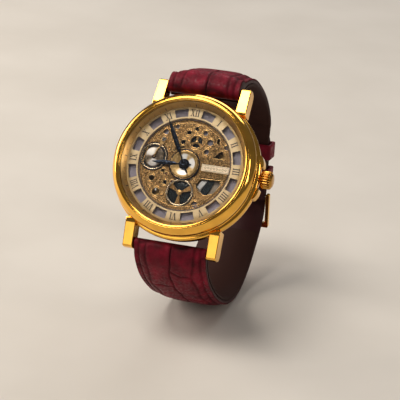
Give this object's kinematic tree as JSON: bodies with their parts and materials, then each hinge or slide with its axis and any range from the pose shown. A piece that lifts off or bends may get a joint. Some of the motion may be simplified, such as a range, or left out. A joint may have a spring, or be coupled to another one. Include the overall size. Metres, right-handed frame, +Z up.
{
  "type": "skeleton wristwatch",
  "caption": "Skeleton wristwatch in a round polished gold case with a pierced movement, blocked numeral ring, leaf hands, side crown and padded leather strap closed by a pin buckle.",
  "frame": {"origin": "centre of the case back's glass, on its outer flat face", "axes": "+X to 3 o'clock, through the crown; +Z up, with the dial leaning back 35 degrees; -Y is the side the dial faces; +Y runs back to the buckle"},
  "size_m": [0.0477, 0.0769, 0.0743],
  "materials": {
    "case_gold": "polished yellow gold plate",
    "crystal_glass": "clear flat crystal",
    "seal_rubber": "matt black seal",
    "seal_clear": "clear nylon ring",
    "steel": "polished steel",
    "rehaut_bronze": "bronze-gold flange with printed ticks",
    "dial_champagne": "champagne dial with dark printed numerals",
    "gilt_brass": "gilt and engraved brass",
    "blued_steel": "dark blued steel",
    "holder_plastic": "grey moulded ring",
    "strap_leather": "glossy burgundy crocodile-embossed leather",
    "lining_leather": "dark smooth leather"
  },
  "bodies": {
    "case": {"case_body": "case_gold", "bezel": "case_gold", "crown_tube": "case_gold", "crystal": "crystal_glass", "back_crystal": "crystal_glass", "back_gasket": "seal_rubber", "crystal_gasket": "seal_clear", "case_back": "steel", "spring_bar_upper": "steel", "spring_bar_lower": "steel", "buckle_bar": "steel", "crown_wheel_screw": "steel", "click_spring": "steel", "cock_screw": "steel", "bridge_screw_1": "steel", "bridge_screw_2": "steel", "bridge_screw_3": "steel", "rehaut_ring": "rehaut_bronze", "dial_ring": "dial_champagne", "name_plate": "dial_champagne", "main_plate": "gilt_brass", "front_bridge": "gilt_brass", "barrel_bridge": "gilt_brass", "balance_cock": "gilt_brass", "pallet_cock": "gilt_brass", "centre_ring": "blued_steel", "hairspring": "blued_steel", "movement_holder": "holder_plastic", "strap_upper": "strap_leather", "strap_lower": "strap_leather", "fixed_keeper": "strap_leather", "lining_upper": "lining_leather", "lining_lower": "lining_leather"},
    "winding_shaft": {"winding_pinion": "steel"},
    "crown_stem": {"crown": "case_gold", "winding_stem": "steel", "crown_gasket": "seal_rubber"},
    "clutch": {"sliding_pinion": "steel"},
    "crown_wheel": {"crown_wheel": "steel"},
    "ratchet": {"ratchet_wheel": "steel", "ratchet_screw": "steel", "barrel_arbor": "steel"},
    "click": {"click": "steel"},
    "barrel": {"barrel": "gilt_brass", "barrel_cover": "gilt_brass", "mainspring": "steel"},
    "centre_wheel": {"centre_wheel": "gilt_brass"},
    "third_wheel": {"third_wheel": "gilt_brass"},
    "fourth_wheel": {"fourth_wheel": "steel"},
    "escape_wheel": {"escape_wheel": "steel"},
    "pallet_fork": {"pallet_fork": "steel"},
    "balance": {"balance_wheel": "gilt_brass"},
    "minute_hand": {"cannon_pinion": "steel", "minute_hand": "blued_steel"},
    "minute_wheel": {"minute_wheel": "gilt_brass"},
    "hour_hand": {"hour_wheel": "gilt_brass", "hour_hand": "blued_steel"},
    "buckle_frame": {"buckle_frame": "case_gold"},
    "buckle_tongue": {"buckle_tongue": "case_gold"},
    "free_keeper": {"free_keeper": "strap_leather"}
  },
  "joints": [
    {"name": "crown_turn", "type": "hinge", "parent": "case", "child": "winding_shaft", "pos_m": [0, -0.00299, 0.00209], "axis": [1, 0, 0], "continuous": true},
    {"name": "crown_pull", "type": "slide", "parent": "winding_shaft", "child": "crown_stem", "axis": [1, 0, 0], "range_m": [0, 0.001]},
    {"name": "clutch_slide", "type": "slide", "parent": "winding_shaft", "child": "clutch", "axis": [1, 0, 0], "range_m": [-0.0005, 0]},
    {"name": "crown_wheel_spin", "type": "hinge", "parent": "case", "child": "crown_wheel", "pos_m": [0.00723, -0.0018, 0.00126], "axis": [0, -0.8192, 0.5736], "continuous": true},
    {"name": "ratchet_spin", "type": "hinge", "parent": "case", "child": "ratchet", "pos_m": [0.00171, 0.00209, 0.00682], "axis": [0, -0.8192, 0.5736], "continuous": true},
    {"name": "click_lift", "type": "hinge", "parent": "case", "child": "click", "pos_m": [-0.00495, 0.00312, 0.00829], "axis": [0, -0.8192, 0.5736], "range_deg": [0, 8], "stiffness_Nm_per_rad": 0.000001},
    {"name": "fourth_spin", "type": "hinge", "parent": "case", "child": "fourth_wheel", "pos_m": [0.0002, -0.00984, -0.00324], "axis": [0, -0.8192, 0.5736], "continuous": true},
    {"name": "escape_spin", "type": "hinge", "parent": "case", "child": "escape_wheel", "pos_m": [-0.00273, -0.00757, -0.0014], "axis": [0, -0.8192, 0.5736], "continuous": true},
    {"name": "third_spin", "type": "hinge", "parent": "case", "child": "third_wheel", "pos_m": [0.0034, -0.00724, -0.00006], "axis": [0, -0.8192, 0.5736], "continuous": true},
    {"name": "centre_spin", "type": "hinge", "parent": "case", "child": "centre_wheel", "pos_m": [0, -0.00459, 0.00321], "axis": [0, -0.8192, 0.5736], "continuous": true},
    {"name": "barrel_spin", "type": "hinge", "parent": "case", "child": "barrel", "pos_m": [0.00171, 0.00037, 0.00803], "axis": [0, -0.8192, 0.5736], "continuous": true},
    {"name": "pallet_rock", "type": "hinge", "parent": "case", "child": "pallet_fork", "pos_m": [-0.0049, -0.00638, 0.0003], "axis": [0, -0.8192, 0.5736], "range_deg": [-5, 5]},
    {"name": "balance_swing", "type": "hinge", "parent": "case", "child": "balance", "pos_m": [-0.0097, -0.00431, 0.00448], "axis": [0, -0.8192, 0.5736], "range_deg": [-135, 135], "stiffness_Nm_per_rad": 0.00000014},
    {"name": "minute_spin", "type": "hinge", "parent": "case", "child": "minute_hand", "pos_m": [0, -0.0068, 0.00476], "axis": [0, -0.8192, 0.5736], "continuous": true},
    {"name": "minute_wheel_spin", "type": "hinge", "parent": "case", "child": "minute_wheel", "pos_m": [0.00149, -0.00504, 0.00535], "axis": [0, -0.8192, 0.5736], "continuous": true},
    {"name": "hour_spin", "type": "hinge", "parent": "case", "child": "hour_hand", "pos_m": [0, -0.00647, 0.00453], "axis": [0, -0.8192, 0.5736], "continuous": true},
    {"name": "buckle_swing", "type": "hinge", "parent": "case", "child": "buckle_frame", "pos_m": [0, 0.05121, -0.025], "axis": [1, 0, 0], "range_deg": [0, 6]},
    {"name": "tongue_lift", "type": "hinge", "parent": "buckle_frame", "child": "buckle_tongue", "pos_m": [0, 0.05121, -0.025], "axis": [1, 0, 0], "range_deg": [0, 5]},
    {"name": "keeper_slide", "type": "slide", "parent": "case", "child": "free_keeper", "axis": [0, 0.086, 0.9963], "range_m": [-0.0028, 0.0035]}
  ],
  "couplings": [
    {"joint": "clutch_slide", "follows": "crown_pull", "ratio": -0.5},
    {"joint": "crown_wheel_spin", "follows": "crown_turn", "ratio": 0.42857},
    {"joint": "ratchet_spin", "follows": "crown_turn", "ratio": -0.28571},
    {"joint": "escape_spin", "follows": "fourth_spin", "ratio": -10},
    {"joint": "third_spin", "follows": "fourth_spin", "ratio": -0.13333},
    {"joint": "centre_spin", "follows": "fourth_spin", "ratio": 0.016667},
    {"joint": "barrel_spin", "follows": "fourth_spin", "ratio": -0.0027778},
    {"joint": "minute_wheel_spin", "follows": "minute_spin", "ratio": -0.33333},
    {"joint": "hour_spin", "follows": "minute_spin", "ratio": 0.083333}
  ]
}
